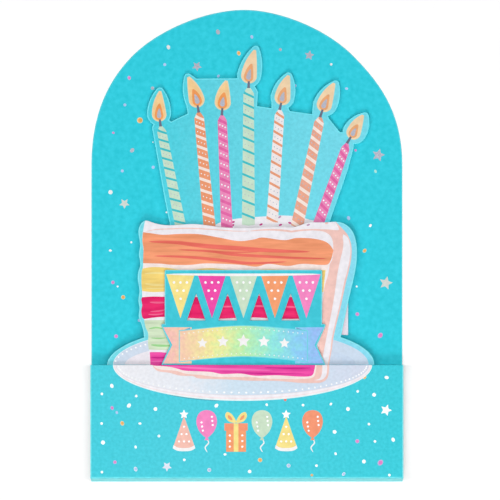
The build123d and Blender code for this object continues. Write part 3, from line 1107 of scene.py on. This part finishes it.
CAKE_STROKES = [
    ("sponge_stroke", [
        (-45.6, 57.1), (-33.1, 56.7), (-19.6, 55.1), (-2.6, 53.9), (14.5, 52.8), (29.4, 52.4),
    ], 2.1),
    ("sponge_stroke", [
        (-32.1, 53.4), (-16.8, 52.6), (-6.8, 51.2), (7.4, 50.3), (21.6, 49.6), (37.2, 49.2),
    ], 1.4),
    ("sponge_stroke", [(-43.1, 50.5), (-26.7, 49.9), (-11.1, 48.4), (1.7, 47.1), (18.7, 47.8)], 1.5),
    ("sponge_stroke", [(-20, 52.9), (-8, 52.2), (6, 52.4)], 0.7),
    ("yellow_light", [(-47.6, 42.2), (-42, 42.6), (-36, 42.2)], 0.9),
    ("yellow_light", [(-47.4, 37.6), (-42, 37), (-35, 37.2)], 1.1),
    ("yellow_light", [(-47, 35.6), (-43, 35.4), (-37, 35.6)], 0.6),
    ("crimson_light", [(-45.2, 29), (-41.5, 28.8), (-37, 28.9)], 0.9),
    ("crimson_light", [(-45, 24.6), (-41, 24.9), (-37, 25.6)], 0.7),
    ("crimson_light", [(-45.9, 23.4), (-42.5, 23.2), (-38.6, 23.6)], 0.7),
    ("crimson_light", [(-20, 26.6), (6, 27.2), (30, 26.4)], 0.9),
    ("mint_stroke", [(-45.6, 16.6), (-42, 17.2), (-38.6, 16.6)], 0.8),
    ("mint_stroke", [(-44.6, 9.2), (-40, 8.8), (-34, 8.8)], 1.1),
    ("mint_stroke", [(-44.6, 12.4), (-41, 12.2), (-37.6, 12.4)], 0.6),
    ("magenta_dark", [(-44.6, 3.4), (-40, 3.2), (-34, 3.6)], 0.7),
    ("magenta_light", [(-44.4, 1.4), (-40, 1.6), (-35, 1.2)], 0.5),
]


def cake_panel():
    """The layer cake on the far half of its plate."""
    sheet = flat_sheet("cake_panel", "cake_turquoise", "cake_rim")
    print_far_plate(sheet)
    sheet.ink(curve(CAKE_LEFT) + curve(CAKE_RIGHT), "icing")
    sheet.ink(curve(COLUMN) + curve(CAKE_RIGHT[1:])[::-1] + curve(CAP), "peach_icing")
    sheet.ink(curve(SHINE) + curve(SHINE_EDGE)[:-1], "icing")
    print_strokes(sheet, ICING_FOLDS)
    for ink, upper, lower, end in CAKE_LAYERS:
        left_side = curve(lower[:1] + end + upper[:1])[1:-1] if end else []
        sheet.ink(curve(upper) + curve(lower)[::-1] + left_side, ink)
    print_strokes(sheet, CAKE_STROKES)
    print_sprinkles(sheet, CAKE_SPRINKLES)
    sheet.build("cake_card", "cake_panel")


# The plaque, with bunting over a ribbon, whose tail and fold are measured from its middle
PLAQUE_X = -1.6
PENNANT_INKS = ["party_yellow", "party_magenta", "party_mint", "party_orange", "party_pink"]
PENNANT_PITCH = 14.6
PENNANT_TOP = 42.0
PENNANT_HALF = 6.6
PENNANT_DROP = 20.4
CORD_HALF = PENNANT_PITCH * 2.5 - 0.6
CORD_SAG = 0.3
CORD_WIDTH = 1.2
RIBBON_HALF = 29.5
RIBBON_BOW = 2.4  # how much lower the ribbon's ends are than its middle
RIBBON_TOP = 18.0
RIBBON_FOOT = 4.0
RIBBON_RIM = 0.4
RIBBON_TAIL = [(24, 17.4), (37.2, 17.4), (33, 9.2), (37.2, 0.6), (24, 0.6)]
RIBBON_FOLD = [(24.6, 17.4), (RIBBON_HALF, 15.4), (24.6, 15.4)]
STITCH_LINES = (16.8, 5.2)
STITCH_GAP = 2.2
STITCH_RADIUS = 0.28


def print_pennant(sheet, x, ink):
    """Print one pennant with a triangle of foil spots."""
    top = [(x - PENNANT_HALF, PENNANT_TOP), (x + PENNANT_HALF, PENNANT_TOP)]
    sheet.ink(top + [(x, PENNANT_TOP - PENNANT_DROP)], ink)
    print_spot_rows(sheet, x, PENNANT_TOP - 3.8, (3, 2, 1), 3.0, 3.8, 0.6)


def bowed(rise, reach):
    """A line that bows up to a height in the middle of the plaque."""
    ends = rise - RIBBON_BOW
    return curve([(PLAQUE_X - reach, ends), (PLAQUE_X, rise), (PLAQUE_X + reach, ends)], steps=12)


def print_ribbon(sheet):
    """Print a bowed ribbon with folded swallow tails, two rows of stitches and a row of stars."""
    for side in (-1, 1):
        sheet.ink(moved(RIBBON_TAIL, PLAQUE_X, side), "rainbow")
        sheet.ink(moved(RIBBON_FOLD, PLAQUE_X, side), "ribbon_fold")
    for rim, ink in ((RIBBON_RIM, "plaque_rim"), (0, "rainbow")):
        upper = bowed(RIBBON_TOP + rim, RIBBON_HALF + rim)
        sheet.ink(upper + bowed(RIBBON_FOOT - rim, RIBBON_HALF + rim)[::-1], ink)
    for line in STITCH_LINES:
        for x, h in spaced(bowed(line, RIBBON_HALF - 1), STITCH_GAP):
            sheet.ink(circle(x, h, STITCH_RADIUS, 8), "string")
    for number in range(-2, 3):
        height = 11.0 - 0.25 * number * number
        sheet.ink(star(PLAQUE_X + number * 9.5, height, 3.2 - 0.35 * abs(number)), "string")


def plaque():
    """The plaque of bunting over a ribbon of rainbow foil with stars."""
    sheet = flat_sheet("plaque", "plaque_turquoise", "plaque_rim")
    for number, ink in enumerate(PENNANT_INKS):
        print_pennant(sheet, PLAQUE_X + (number - 2) * PENNANT_PITCH, ink)
    cord = [(-CORD_HALF, PENNANT_TOP), (0, PENNANT_TOP - CORD_SAG), (CORD_HALF, PENNANT_TOP)]
    sheet.ink(stroke(moved(cord, PLAQUE_X), CORD_WIDTH), "string")
    print_ribbon(sheet)
    sheet.build("plaque_card", "plaque")


def dress_hidden_parts():
    """Give the folded strips and the foam pads their own finish."""
    for name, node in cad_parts.items():
        if "_strip_" in name or "_pad_" in name:
            node.data.materials.clear()
            node.data.materials.append(MATERIALS["white_card" if "_strip_" in name else "foam"])


folded_card()
candle_panel()
cake_panel()
plaque()
dress_hidden_parts()

# Floor, lights and camera
scene = bpy.context.scene
scene.view_settings.view_transform = "Standard"
VIEW_DISTANCE = 1.3
FIELD = 0.23325  # width that the picture shows at the back panel
VIEW_CENTRE = (0.00145, -0.00198)
SENSOR = 36
FLOOR_SIZE = 6
FLOOR_DROP = 0.00005  # from the card's back down to the table
FLOOR_GLOW = 0.12  # extra light of the table where it is looked at
ROOM_LIGHT = 0.06
ROOM_GLOW = 0.5  # extra light of the room where it is looked at
# Lamps, as name, place, size, power and whether foil mirrors them
LAMPS = [
    ("key", (-0.06, -0.7, 1.35), (0.2, 0.2), 3.8, False),
    ("low", (0, -1.1, 1.31), (0.8, 0.62), 3.9, False),
    ("overhead", (0, 0, 1.5), (2.4, 0.12), 18.2, False),
    ("reflector", (0, -0.3, 1.5), (1, 0.62), 2.1, True),
]


def direct_rays(tree, strength, base):
    """A value that is raised where the camera, a mirror or glass looks straight at something."""
    rays = add_node(tree, "ShaderNodeLightPath", {})
    total = rays["Is Camera Ray"]
    for name in ("Is Glossy Ray", "Is Transmission Ray"):
        total = math_of(tree, "ADD", total, rays[name])
    return math_of(tree, "MULTIPLY_ADD", total, strength, base)


def add_floor():
    """A white table top just under the card, a little lighter to the camera."""
    bpy.ops.mesh.primitive_plane_add(size=FLOOR_SIZE, location=(0, 0, -FLOOR_DROP))
    floor = bpy.context.object
    floor.name = "table_top"
    material, tree = new_material("table_white")
    floor.data.materials.append(finished(material, {
        "Base Color": mottled(tree, 0xFAFAFA, 0.01, 30),
        "Roughness": 0.9,
        "Emission Color": (1, 1, 1, 1),
        "Emission Strength": direct_rays(tree, FLOOR_GLOW, 0),
    }))


def add_area_light(name, place, size, power, mirrored):
    """A soft rectangular lamp that faces the card, which foil may mirror or not."""
    data = bpy.data.lights.new(name, "AREA")
    data.shape = "RECTANGLE"
    data.size, data.size_y = size
    data.energy = power
    lamp = bpy.data.objects.new(name, data)
    lamp.location = place
    lamp.rotation_euler = (-Vector(place)).to_track_quat("-Z", "Y").to_euler()
    lamp.visible_glossy = mirrored
    scene.collection.objects.link(lamp)


def add_camera():
    """A camera straight above the card, at the photograph's distance."""
    data = bpy.data.cameras.new("camera")
    data.sensor_width = SENSOR
    data.lens = SENSOR * VIEW_DISTANCE / FIELD
    camera = bpy.data.objects.new("camera", data)
    camera.location = (*VIEW_CENTRE, VIEW_DISTANCE)
    scene.collection.objects.link(camera)
    scene.camera = camera


def add_room():
    """A white room that lights the card a little."""
    world = bpy.data.worlds.new("room")
    world.use_nodes = True
    tree = world.node_tree
    strength = direct_rays(tree, ROOM_GLOW, ROOM_LIGHT)
    feed(tree, tree.nodes["Background"], {"Color": (1, 1, 1, 1), "Strength": strength})
    scene.world = world


add_floor()
for lamp_row in LAMPS:
    add_area_light(*lamp_row)
add_camera()
add_room()
